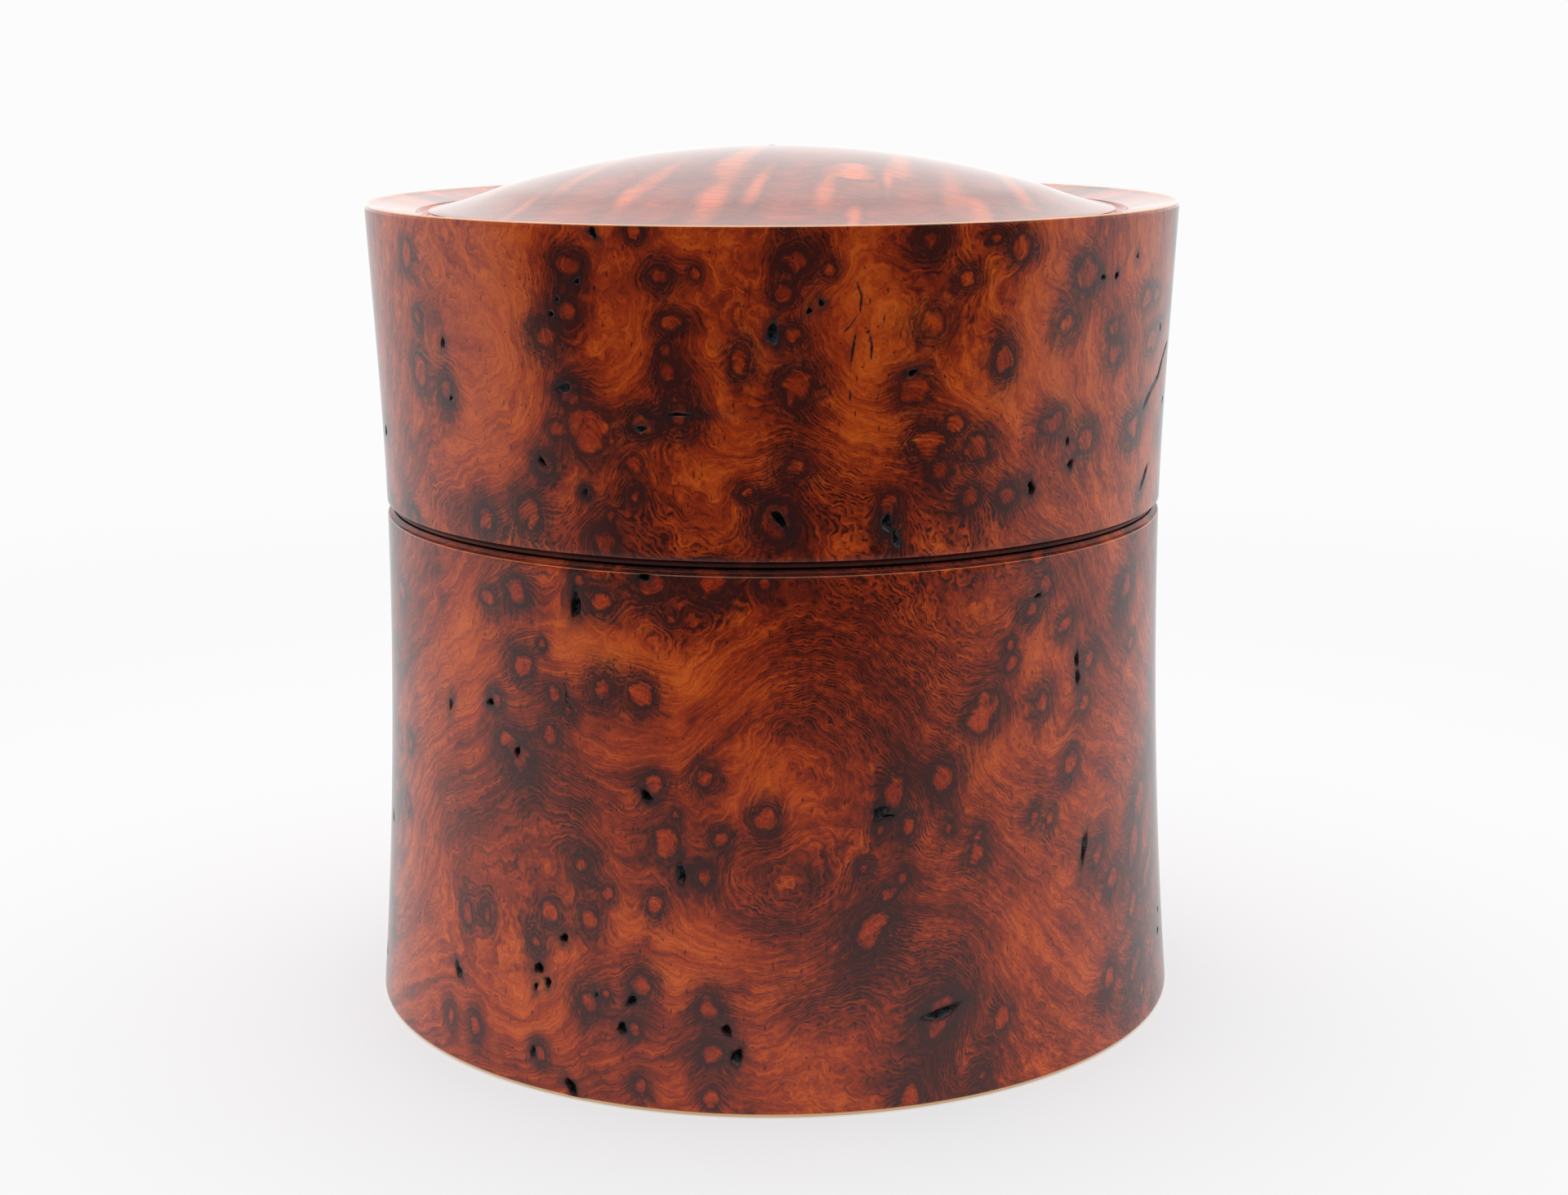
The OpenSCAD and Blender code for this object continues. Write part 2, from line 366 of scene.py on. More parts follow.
# ---------------------------------------------------------------- the burl's figure
GROWTH_CENTRE = np.array([15.0, 70.0, 95.0])
SPIKE_RUN = 9.0           # how far a bud's spike runs before it spreads and fades
EYE_CAP = 2.6             # beyond this many ring radii from an eye, the wood is plain
EYE_BLEND = 5             # the higher, the more sharply neighbouring eyes part
RING_PITCH = 0.27         # spacing of the growth rings that show as ripples
EYE_RING_PITCH = 0.2      # spacing of the rings in an eye, over its ring radius

# Eyes on the lid's wall: angle, height, radius of the dark ring, tallness, darkness
LID_EYES = [
    (-26, 80, 1.9, 1, 0.9), (-30, 73.5, 2.3, 1, 0.8), (-26.5, 76, 1.6, 1, 0.9),
    (-14, 79.4, 1.7, 1, 1), (-9.5, 79.7, 0.9, 1.2, 0.8), (-12.5, 75.3, 2, 0.7, 0.9),
    (-13.5, 72.8, 1, 1, 1), (-4, 72, 1.4, 1.6, 0.8), (3, 80.8, 2.2, 1, 1), (7, 80, 1.1, 1, 0.8),
    (1.5, 78, 1.4, 1, 0.9), (2.5, 74, 1.6, 1, 0.7), (3, 69.5, 2.5, 1, 0.8), (20, 82.2, 2, 1, 1),
    (25, 78.8, 1.6, 1, 0.8), (33, 81.5, 1.8, 1, 0.8), (29, 82.5, 1.2, 1, 0.8),
    (20.5, 75, 2.3, 1, 0.6), (30.8, 71.4, 1.5, 1.6, 1), (18, 69, 2.2, 1, 0.6),
    (20, 64, 2.3, 1, 0.9), (27.2, 63.3, 1.9, 1, 0.8), (22, 61.3, 1.3, 1, 0.8),
    (24, 65.5, 1.2, 1, 0.8), (39.7, 64.8, 1.8, 1, 0.7), (46.8, 62.8, 1.6, 1.4, 0.7),
    (44.7, 78.4, 2, 1.2, 0.8), (41.4, 74, 1.8, 1.2, 0.7), (52.3, 70.5, 1.6, 1.2, 0.6),
    (51.5, 73, 1, 1, 0.6), (2.5, 62, 2.1, 1, 0.7), (0, 57, 2.5, 1.1, 1), (-3.5, 59.8, 1.2, 1, 1),
    (15, 57, 1.6, 1.8, 1), (15, 58.8, 1.1, 1, 0.8), (26.4, 58.6, 1.5, 1, 0.8),
    (32.5, 58.4, 1.6, 1, 1), (-27, 68.5, 1.7, 1, 1), (-24.5, 65, 3.2, 1, 0.6),
    (-29, 65, 1.2, 1, 0.8), (-24, 66.2, 1, 1, 0.8), (-25, 63.8, 1.3, 1, 0.8),
    (-31, 61.5, 1.6, 1, 1), (-18, 59.3, 1.4, 1, 0.9), (-25, 59.3, 0.8, 1, 1),
    (-21.5, 57.3, 0.7, 1, 0.9), (-22.5, 54.8, 1.8, 1, 0.8), (-34, 56.5, 2.5, 1, 0.9),
    (-42, 55.3, 1.8, 1, 1), (-12, 67, 2.4, 1, 1), (-17, 66, 2, 1, 1), (-13, 70.5, 2, 1, 1),
    (-18, 62.3, 1.6, 1, 0.5), (-55, 74, 1.2, 1.2, 0.8), (-55.5, 69, 1.9, 1.6, 0.7),
    (-49, 67.4, 1.6, 1.5, 0.9), (-17, 83.3, 1.3, 1, 0.9), (1.5, 83.9, 0.9, 1, 0.9),
    (-57, 80, 1.5, 1.4, 0.5),
]
# and on the pot's wall
BODY_EYES = [
    (-36.5, 49, 2.1, 0.8, 0.9), (-42, 48, 1.4, 1, 0.8), (-26.5, 50.9, 1.2, 1, 0.9),
    (-23, 49, 1.8, 1, 0.9), (-16, 51, 2.3, 1, 0.9), (-8, 51.3, 2.6, 0.8, 1),
    (-1.2, 51.2, 1.1, 1.1, 0.9), (-13.5, 47.8, 0.9, 1, 0.7), (-36, 42, 1.8, 1, 0.9),
    (-32.5, 44.3, 0.8, 1, 1), (-23, 40.6, 2.1, 1, 0.9), (-18, 40.5, 2, 1, 0.9),
    (-41, 38, 1.3, 1.2, 0.9), (-30.5, 39.8, 1.3, 1, 0.8), (-31.5, 35.8, 1.5, 1, 0.8),
    (-39, 34.3, 1.3, 1, 0.8), (-37, 33, 2.6, 1, 1), (-28.5, 38.3, 1.2, 1, 1), (-9, 33, 1.6, 1, 0.9),
    (-16, 31.8, 1.5, 1, 0.9), (-13, 29.2, 0.8, 1, 1), (-1.3, 29, 1.6, 1, 0.9),
    (-7, 27, 1.4, 1, 0.9), (-14.3, 26.5, 2.2, 1, 0.7), (-26.3, 23.6, 2, 1, 0.9),
    (-9.2, 23.3, 1.2, 1.2, 1), (-22.5, 21, 1.1, 1, 0.8), (-15.8, 20.4, 1.4, 1, 0.8),
    (-25.3, 18.2, 1.6, 1, 0.8), (-31, 18, 1.5, 1, 0.8), (-42.5, 16.3, 1.3, 1.5, 0.8),
    (-47, 15.8, 1.2, 1.5, 0.7), (-33.7, 15, 1.4, 1.4, 0.9), (-25.3, 10, 1.8, 1, 0.9),
    (-22.7, 11, 0.7, 1, 0.9), (-17.5, 12.3, 1.7, 1, 0.8), (-18.5, 8, 1, 1, 1),
    (-8.7, 10.7, 1.6, 1, 0.9), (-8.2, 6.2, 1.6, 0.7, 0.9), (-32.5, 4, 1.1, 1, 0.9),
    (-44.5, 4.5, 1.2, 1.4, 0.7), (-50, 4.5, 1.1, 1.4, 0.7), (-17.5, 2.3, 1.2, 1, 0.8),
    (-8.3, 2, 1.2, 1, 0.5), (38, 52, 1.5, 1, 0.7), (39.5, 49.5, 1.3, 1.4, 0.7), (37, 47, 1.5, 1, 1),
    (43.7, 45, 1.3, 1, 0.8), (33.3, 44, 0.8, 1, 1), (33.5, 42.2, 1, 1, 0.8),
    (29, 39.3, 1.2, 1, 0.8), (28.7, 37.6, 2.3, 1, 0.7), (39, 37.8, 1.3, 1.7, 0.8),
    (48.7, 40.6, 1.3, 1.4, 0.7), (48, 36.6, 1.3, 1.4, 0.6), (22.8, 31.9, 2.1, 1, 1),
    (15.8, 31, 1.7, 1.5, 1), (17.8, 27.7, 1.2, 1.3, 1), (14, 27.7, 0.9, 1, 1),
    (23.5, 27.2, 1, 1.4, 0.8), (44.5, 30.8, 1.2, 1.6, 0.8), (37.5, 26.5, 1.1, 1.4, 0.7),
    (40.5, 26, 1, 1.4, 0.7), (28, 25.9, 0.9, 1, 0.8), (11.7, 24, 1.1, 1, 0.9),
    (17, 23, 0.9, 1, 0.8), (27.7, 24, 1.5, 1, 0.7), (15, 21.4, 1.3, 0.7, 0.8),
    (12.7, 18.2, 2.7, 1, 1), (21.3, 7.5, 0.9, 1, 1), (22, 9, 2.6, 0.8, 1),
    (31.3, 7.3, 1.3, 1.4, 0.7), (17.3, 1.3, 1.7, 1, 0.8), (28, 2.2, 1.2, 1, 0.8),
    (51, 20.9, 1.5, 1.5, 0.7), (54.5, 17.5, 1.3, 1.4, 0.7), (61, 13.5, 1.2, 1.4, 0.7),
    (52.5, 7.3, 1.3, 1.4, 0.7),
]
# Buds that the dome cuts lengthwise: x, y, radius, darkness, and how far each runs
DOME_EYES = [
    (-13.5, -23.5, 1.9, 0.5, 11), (-5.6, -26.5, 2.4, 0.5, 11), (-1.5, -24, 1.3, 0.5, 13),
    (5, -25.5, 1.6, 0.4, 11), (8, -17, 2.6, 0.8, 3), (7.5, -32, 1.2, 0.5, 8),
    (19.7, -26, 1.8, 0.4, 5), (17.5, -19.5, 2, 0.2, 9), (11.2, -20, 0.8, 0.6, 8),
    (-11, -18.5, 1.3, 0.2, 11), (13, -6, 2, 0.5, 12), (-18, -10, 1.6, 0.4, 12),
    (-2, -6, 1.9, 0.5, 13), (24, -10, 1.5, 0.5, 11), (-27, -4, 1.8, 0.5, 10), (4, 10, 1.6, 0.6, 12),
    (-11, 10, 1.9, 0.6, 13), (22, 8, 1.7, 0.6, 11), (16, 22, 1.5, 0.6, 9), (-3, 26, 1.7, 0.6, 9),
    (-22, 17, 1.5, 0.5, 11), (-24, -19, 1.3, 0.3, 9), (28, 2, 1.2, 0.5, 9), (9, 29, 1.3, 0.6, 8),
]

# Slow swells that bend the growth rings into whirls: angle, height, reach, lift
SWELLS = [
    (4, 37, 12, 9), (-31, 29, 9, 5), (2, 20, 9, -5), (6, 11, 8, 5), (24, 16, 9, 6), (8, 59, 8, 4),
    (-18, 55, 8, 4), (25, 56, 6, 3), (-12, 49, 8, -3), (40, 48, 9, 5), (-50, 24, 10, 6),
    (-40, 70, 9, -5), (12, 72, 9, -4), (-35, 8, 8, -4), (60, 30, 12, 6), (-14, 40, 8, -3),
]
# Where the rings show as ripples: angle, height, reach round, reach up, strength
RIPPLES = [
    (13, 44, 16, 9, 1.2), (-12, 48, 10, 4, 0.9), (-33, 30, 13, 5, 0.7), (2, 21, 9, 6, 0.8),
    (6, 13, 8, 6, 0.8), (25, 16, 12, 6, 0.9), (20, 3, 8, 4, 0.7), (8, 60, 8, 6, 0.9),
    (-18, 56, 8, 3, 0.8), (25, 56, 7, 3, 0.9), (22, 60, 8, 4, 0.5), (-42, 58, 8, 5, 0.4),
    (16, 52, 12, 3, 0.8), (-22, 30, 6, 5, 0.4),
]
# Clear orange stretches, the same way
CLEARS = [
    (-40, 70, 7, 14, 0.9), (-18, 72, 4, 10, 0.7), (11, 72, 4, 14, 1), (35, 71, 4, 6, 0.9),
    (-24, 44, 8, 3.5, 1), (-47, 44, 5, 8, 0.8), (-15, 36.5, 8, 3, 0.9), (0, 33, 6, 4, 0.7),
    (-33, 8, 6, 4, 0.9), (32, 34.5, 5, 2.5, 0.8), (38, 42.5, 5, 2.5, 0.8), (37, 15, 6, 4, 0.8),
    (-9, 16.5, 6, 3, 0.9), (5, 6.5, 8, 3, 0.8), (-6, 65, 5, 9, 0.6), (42, 70, 4, 8, 0.6),
    (-8, 42, 7, 3, 0.6), (46, 12, 6, 6, 0.6), (50, 28, 4, 8, 0.5),
]

# Bark pits: angle, height, length, width, lean clockwise from upright, how much painted glint, a painted
# reflection, their lining shows
LID_PITS = [
    (-25, 78.7, 0.6, 0.5, 60, 0), (-29, 75.6, 0.6, 0.5, 30, 0), (-28, 77, 0.7, 0.3, -10, 0),
    (-27.5, 68.9, 1.5, 0.9, 60, 0.6), (-31.5, 61.8, 1, 0.6, -45, 0), (-12, 66.9, 1.9, 0.4, 90, 0),
    (-17, 65.5, 1.3, 0.6, 90, 0.6), (-25, 59.3, 0.9, 0.5, 0, 0.7), (-49, 72, 1.2, 0.6, 0, 0.7),
    (-48, 66.8, 0.5, 0.4, 0, 0), (-22.5, 83.1, 1.2, 0.7, -30, 0), (0, 74.3, 1.9, 1.3, 0, 0.6),
    (6, 77, 0.7, 0.6, 0, 0.2), (4.5, 76.3, 0.7, 0.5, 60, 0), (17.8, 70.5, 1.2, 0.5, 60, 0),
    (0.7, 57.4, 2.4, 0.8, -45, 0), (14.7, 56.8, 1.7, 1.1, -10, 0.9), (16, 55.2, 1.8, 0.8, -15, 0.9),
    (36.3, 58.8, 1.3, 0.9, 0, 0), (42.7, 62.8, 0.9, 0.4, 15, 0), (51.5, 78, 0.9, 0.5, 45, 0),
    (48.3, 78, 0.6, 0.6, 0, 0.8), (43.5, 60.5, 1, 0.7, 0, 0.8), (57, 79.6, 0.5, 0.4, 0, 0),
]
BODY_PITS = [
    (-27, 48.5, 2.6, 1.2, 10, 0.5), (-17, 51.7, 1.4, 0.8, 90, 0), (-42, 37.7, 0.8, 0.8, 0, 0),
    (-51, 36.3, 1.2, 0.5, 0, 0.7), (-37, 33.4, 0.9, 0.8, 0, 0), (-17, 30.8, 1.2, 1, -30, 0),
    (-12.3, 23.5, 2, 0.9, 0, 0.8), (-29, 15.9, 1, 0.8, 90, 0), (-33, 12.4, 1.2, 1, 0, 0),
    (-31.5, 11.2, 1.1, 0.7, -20, 0), (-33.5, 10.5, 0.7, 0.5, 0, 0), (-48.5, 9.5, 1.5, 1, -30, 0.8),
    (-24, 10.9, 0.4, 0.3, 0, 0), (-19, 10.8, 1.3, 0.8, 60, 0.8), (-20.3, 8, 1.3, 0.8, 0, 0),
    (-6.3, 8.6, 1.2, 0.8, -60, 0), (-5, 6, 1.6, 1.2, 0, 0.8), (-33.7, 3.9, 1, 0.7, 0, 0.8),
    (-27.5, 1.3, 1.8, 1, -30, 0), (38, 48.3, 0.9, 0.4, 80, 0.7), (46, 41.2, 1.7, 0.6, 5, 0.2),
    (46.2, 39.4, 1.6, 0.6, -8, 0.2), (13.8, 29.3, 1.5, 1.2, 20, 0.9), (14.8, 28.9, 1.1, 0.4, 80, 0),
    (22, 9.1, 3, 1.2, 80, 0.6), (47.5, 22, 3, 0.8, 20, 0.9),
]
PIT_STAIN_REACH = 0.6
# Cracks: points along each, as angle and height, and its width
LID_CRACKS = [
    ([(76, 70), (72, 68.6), (69.5, 66.9), (66, 65.9), (62.5, 64.2)], 0.62),
    ([(66.8, 58.4), (65.2, 57.2), (63.2, 56)], 0.6),
    ([(10.3, 79), (11, 77.6), (10.8, 76)], 0.12), ([(10.4, 74.6), (10, 73), (9.7, 71.2)], 0.14),
    ([(10.6, 76), (9.6, 74.9), (8.6, 74.2)], 0.1), ([(9.6, 69.4), (9.8, 67.6)], 0.1),
    ([(12, 74.5), (12.4, 73), (12.3, 71.8)], 0.12), ([(14, 76), (13.8, 74.8)], 0.1),
    ([(13.5, 69), (13, 67.8)], 0.1),
]
BODY_CRACKS = [([(-29, 41), (-28.6, 40.2), (-28.7, 39.3), (-27.9, 38.6)], 0.1)]

# Round the sides and back, eyes and pits are scattered between these angles
WILD_FROM, WILD_TO = 58, 302
WILD_CLUSTERS = 54
WILD_EYES = 310
WILD_TRIES = 9000
rng = np.random.default_rng(11)


def on_wall(angle, z):
    a, r = math.radians(angle), float(wall_r(z))
    return np.array([r * math.sin(a), -r * math.cos(a), z])


def wild_eyes():
    """Eyes in loose clusters round the sides and back, where none was listed."""
    by_hand = [on_wall(e[0], e[1]) for e in LID_EYES + BODY_EYES]
    clusters = [(rng.uniform(WILD_FROM, WILD_TO), rng.uniform(2, 82)) for _ in range(WILD_CLUSTERS)]
    eyes = []
    for _ in range(WILD_TRIES):
        if len(eyes) == WILD_EYES:
            break
        middle = clusters[rng.integers(len(clusters))]
        angle, z = rng.normal(middle[0], 8), rng.normal(middle[1], 6)
        radius = rng.uniform(0.8, 2.3)
        place = on_wall(angle, z)
        near_hand = min(np.linalg.norm(place - h) for h in by_hand) < 4
        if near_hand or not (WILD_FROM < angle < WILD_TO and -1 < z < 85):
            continue
        if all(np.linalg.norm(place - e[0]) > (radius + e[1]) * 0.9 for e in eyes):
            eyes.append((place, radius, rng.uniform(0.8, 1.3), rng.uniform(0.5, 1.0)))
    return eyes


def all_eyes():
    """Every eye as (place, ring radius, tallness, darkness, how far its spike runs, on the dome)."""
    eyes = [(on_wall(a, z), r, tall, dark, SPIKE_RUN, False)
            for a, z, r, tall, dark in LID_EYES + BODY_EYES]
    eyes += [(*eye, SPIKE_RUN, False) for eye in wild_eyes()]
    for x, y, r, dark, run in DOME_EYES:
        eyes.append((np.array([x, y, float(dome_z(math.hypot(x, y)))]), r, 1.0, dark, run, True))
    return eyes


EYES = all_eyes()


def wild_pits(count, low, high):
    """Bark pits beside eyes round the sides and back, given like the listed ones."""
    beside = [e[0] for e in EYES if not e[5] and e[0][1] > -18 and low < e[0][2] < high]
    pits = []
    for number in rng.choice(len(beside), count, replace=False):
        x, y, z = beside[number]
        angle = math.degrees(math.atan2(x, -y)) + rng.uniform(-1.5, 1.5)
        pits.append((angle, z + rng.uniform(-1, 1), rng.uniform(0.6, 2.2), rng.uniform(0.4, 0.9),
                     rng.uniform(-60, 90), rng.uniform(0, 0.9)))
    return pits


def smooth(x, low, high):
    t = np.clip((x - low) / (high - low), 0, 1)
    return t * t * (3 - 2 * t)


def patches(places, spots):
    """Soft elliptical patches on the wall, the strongest one at each place."""
    angle = np.degrees(np.arctan2(places[:, 0], -places[:, 1]))
    out = np.zeros(len(places))
    for a, z, reach_a, reach_z, strength in spots:
        away = ((angle - a) / reach_a) ** 2 + ((places[:, 2] - z) / reach_z) ** 2
        out = np.maximum(out, strength * np.exp(-away))
    return out


def grow_figure(places):
    """The burl's figure at each place: growth height, distance from the nearest eye in ring radii,
    that eye's darkness, and how rippled and how clear the wood is."""
    out = places - GROWTH_CENTRE
    growth = np.linalg.norm(out, axis=1)
    for a, z, reach, lift in SWELLS:
        away = np.linalg.norm(places - on_wall(a, z), axis=1) / reach
        growth = growth + lift * np.exp(-away ** 2)
    closeness = np.zeros(len(places))
    weight = np.full(len(places), 1e-6)
    darkness = np.zeros(len(places))
    over_dome = (np.hypot(places[:, 0], places[:, 1]) < RING_IN_R) & (places[:, 2] > RING_IN_Z - 1)
    for place, radius, tall, dark, run, of_dome in EYES:
        spike = place - GROWTH_CENTRE
        length = np.linalg.norm(spike)
        spike = spike / length
        behind = smooth(np.degrees(np.arccos(-place[1] / np.hypot(place[0], place[1]))), 60, 110)
        if not of_dome and behind > 0:
            outward = np.array([place[0], place[1], 0]) / np.hypot(place[0], place[1])
            spike = spike * (1 - 0.75 * behind) + outward * 0.75 * behind
            spike = spike / np.linalg.norm(spike)
        near = (np.linalg.norm(places - place, axis=1) < 26 + 3 * radius) & (over_dome == of_dome)
        w = places[near] - place
        along = w @ spike
        aside = w - along[:, None] * spike
        aside[:, 2] /= tall
        scale = radius * np.clip(1 + along / length, 0.3, 2) * (1 + 0.35 * (np.abs(along) / run) ** 2)
        away = np.linalg.norm(aside, axis=1) / scale
        away = away + smooth(np.abs(along), run * 0.8, run * 1.8) * 1.6
        closeness[near] += np.exp(-EYE_BLEND * away)
        share = np.exp(-2.2 * away ** 2)
        weight[near] += share
        darkness[near] += share * dark
        growth[near] += (0.5 + 0.75 * radius) * (0.5 + 0.5 * dark) * np.exp(-0.55 * away ** 2)
    eye = -np.log(closeness + np.exp(-EYE_BLEND * EYE_CAP)) / EYE_BLEND
    eye = np.clip(eye, 0, EYE_CAP)
    return growth, eye, darkness / weight, patches(places, RIPPLES), patches(places, CLEARS)


def pit_frame(places, angle, z):
    """Offsets along the wall from a pit: round it and up it."""
    a = np.degrees(np.arctan2(places[:, 0], -places[:, 1])) - angle
    a = (a + 180) % 360 - 180
    return np.radians(a) * float(wall_r(z)), places[:, 2] - z


def pit_spread(places, pit, number):
    """How far each place is from a pit's middle, 1 at its uneven edge."""
    angle, z, length, width, lean, _ = pit
    across, up = pit_frame(places, angle, z)
    lean = math.radians(lean)
    u = across * math.sin(lean) + up * math.cos(lean)
    v = across * math.cos(lean) - up * math.sin(lean)
    turn = np.arctan2(v / width, u / length)
    wobble = 1 + 0.14 * np.sin(2 * turn + number) + 0.11 * np.sin(3 * turn + 2.1 * number)
    wobble += 0.07 * np.sin(5 * turn + 3.7 * number)
    return np.hypot(u / (length / 2), v / (width / 2)) * wobble


def crack_spread(places, crack):
    """Distance from a crack's line over half its width."""
    points, width = crack
    best = np.full(len(places), 99.0)
    for (a0, z0), (a1, z1) in zip(points, points[1:]):
        across, up = pit_frame(places, a0, z0)
        end_across = math.radians(a1 - a0) * float(wall_r(z0))
        end_up = z1 - z0
        t = np.clip((across * end_across + up * end_up) / (end_across ** 2 + end_up ** 2), 0, 1)
        best = np.minimum(best, np.hypot(across - t * end_across, up - t * end_up))
    first, last = points[0], points[-1]
    ends = np.minimum(*[np.hypot(*pit_frame(places, *p)) for p in (first, last)])
    narrowing = smooth(ends, -0.4, 1.2)
    return best / (width / 2 * np.maximum(narrowing, 0.05))


def outer_wall(places, low, high):
    return (np.abs(np.hypot(places[:, 0], places[:, 1]) - wall_r(places[:, 2])) < 0.05) & (
        places[:, 2] > low) & (places[:, 2] < high)


def dent(piece, pits, cracks, low, high):
    """Cuts the pits and cracks into the wall as real dents, on a locally finer mesh, and stores
    where they are for the lining's colour."""
    mesh = piece.data
    bm = bmesh.new()
    bm.from_mesh(mesh)
    for reach in (1.6, 1.3):
        bm.verts.ensure_lookup_table()
        bm.faces.ensure_lookup_table()
        centres = np.array([f.calc_center_median() for f in bm.faces]) / MM
        index = np.nonzero(outer_wall(centres, low - 0.5, high + 0.5))[0]
        here = centres[index]
        hit = np.zeros(len(index), bool)
        for i, pit in enumerate(pits):
            hit |= (pit_spread(here, pit, i) - 1) * min(pit[2], pit[3]) / 2 < 0.35 * reach
        for crack in cracks:
            hit |= (crack_spread(here, crack) - 1) * crack[1] / 2 < 0.3 * reach
        edges = {e for i in index[hit] for e in bm.faces[i].edges}
        bmesh.ops.subdivide_edges(bm, edges=list(edges), cuts=1, use_grid_fill=True)
    bm.to_mesh(mesh)
    bm.free()
    places = vertex_places(mesh)
    index = np.nonzero(outer_wall(places, low - 0.01, high + 0.01))[0]
    here = places[index]
    depth, lining, pit_glint_share, stain, rim = np.zeros((5, len(index)))
    for i, pit in enumerate(pits):
        spread = pit_spread(here, pit, i)
        rim = np.maximum(rim, 1 - smooth(spread, 1, 1.35))
        deep = min(0.9, 0.22 + 0.42 * min(pit[2], pit[3]))
        floor_wave = 1 + 0.35 * np.sin(here[:, 2] * 7 + i) * np.sin(here[:, 0] * 6 + 2 * i)
        depth = np.maximum(depth, deep * (1 - smooth(spread, 0.25, 1.0)) * floor_wave)
        here_lining = 1 - smooth(spread, 0.8, 1.12)
        lining = np.maximum(lining, here_lining)
        # how much painted glint, a painted reflection, each pit's lining shows
        pit_glint_share = np.maximum(pit_glint_share, pit[5] * here_lining)
        beyond = (np.maximum(spread, 1) - 1) * min(pit[2], pit[3]) / 2
        stain = np.maximum(stain, np.exp(-(beyond / PIT_STAIN_REACH) ** 2))
    for crack in cracks:
        spread = crack_spread(here, crack)
        depth = np.maximum(depth, min(0.5, crack[1]) * (1 - smooth(spread, 0.2, 1.1)))
        lining = np.maximum(lining, 1 - smooth(spread, 0.7, 1.3))
        beyond = (np.maximum(spread, 1) - 1) * crack[1] / 2
        stain = np.maximum(stain, np.exp(-(beyond / (0.03 + crack[1] / 2)) ** 2))
    outward = here[:, :2] / np.hypot(here[:, 0], here[:, 1])[:, None]
    places[index, :2] -= outward * depth[:, None]
    mesh.vertices.foreach_set("co", (places * MM).ravel())
    for name, values in (("lining", lining), ("pit_glint_share", pit_glint_share), ("stain", stain), ("dull", rim)):
        full = np.zeros(len(places))
        full[index] = values
        store(mesh, name, full)
    mesh.polygons.foreach_set("use_smooth", np.ones(len(mesh.polygons), bool))
    mesh.update()


def in_groove(places):
    """The seam's groove, where the lacquer is thin, and the shaded inside."""
    out = np.hypot(places[:, 0], places[:, 1])
    low, high = SEAM_Z - BODY_COVE_H, SEAM_Z + SEAM_GAP + LID_COVE_H
    seam = (places[:, 2] > low - 0.02) & (places[:, 2] < high + 0.02) & (out < wall_r(places[:, 2]) - 0.12)
    inside = (out < SKIRT_R + LAND_W + 0.1) & (places[:, 2] < CEILING_Z + 8) & (places[:, 2] > 1) & (
        places[:, 2] < dome_z(np.minimum(out, DOME_R)) - 2)
    return np.where(seam, 1.0, np.where(inside, 0.6, 0.0))


def figure(piece):
    """Stores the burl's figure on a piece."""
    places = vertex_places(piece.data)
    growth, eye, darkness, ripple, clear = grow_figure(places)
    groove = in_groove(places)
    store(piece.data, "groove", groove)
    out = np.hypot(places[:, 0], places[:, 1])
    on_top = (places[:, 2] > RING_IN_Z) & (out < DOME_R + 0.2)
    store(piece.data, "dome_top", on_top * smooth(-out, -DOME_R - 0.2, -DOME_R + 1))
    # Painted highlight: thin cream lines on the rim's edge, the mouth's edge and the foot's round stand in
    # for the light these edges catch.
    at_rim = (places[:, 2] > RIM_Z - 0.12) & (out > RIM_R - 0.3)
    from_mouth = np.abs(places[:, 2] - (SEAM_Z - BODY_COVE_H - 0.02))
    at_mouth = (from_mouth < 0.06) & (groove == 0) & (out > RIM_R - 4)
    at_foot = (places[:, 2] < 0.4) & (out > FOOT_R - 0.5)
    store(piece.data, "arris_highlight", at_rim * 0.62 + at_mouth * 0.12 + at_foot * 1.0)
    # Painted shade: in the seam's groove the lid's cove, which faces down, is darkened strongly and the pot's
    # cove a little.
    store(piece.data, "shade", np.where(groove == 1, np.where(places[:, 2] > SEAM_Z + 0.01, 0.88, 0.35), 0))
    for name, values in (("growth", growth), ("eye", eye), ("darkness", darkness),
                         ("ripple", ripple), ("clear", clear)):
        store(piece.data, name, values)


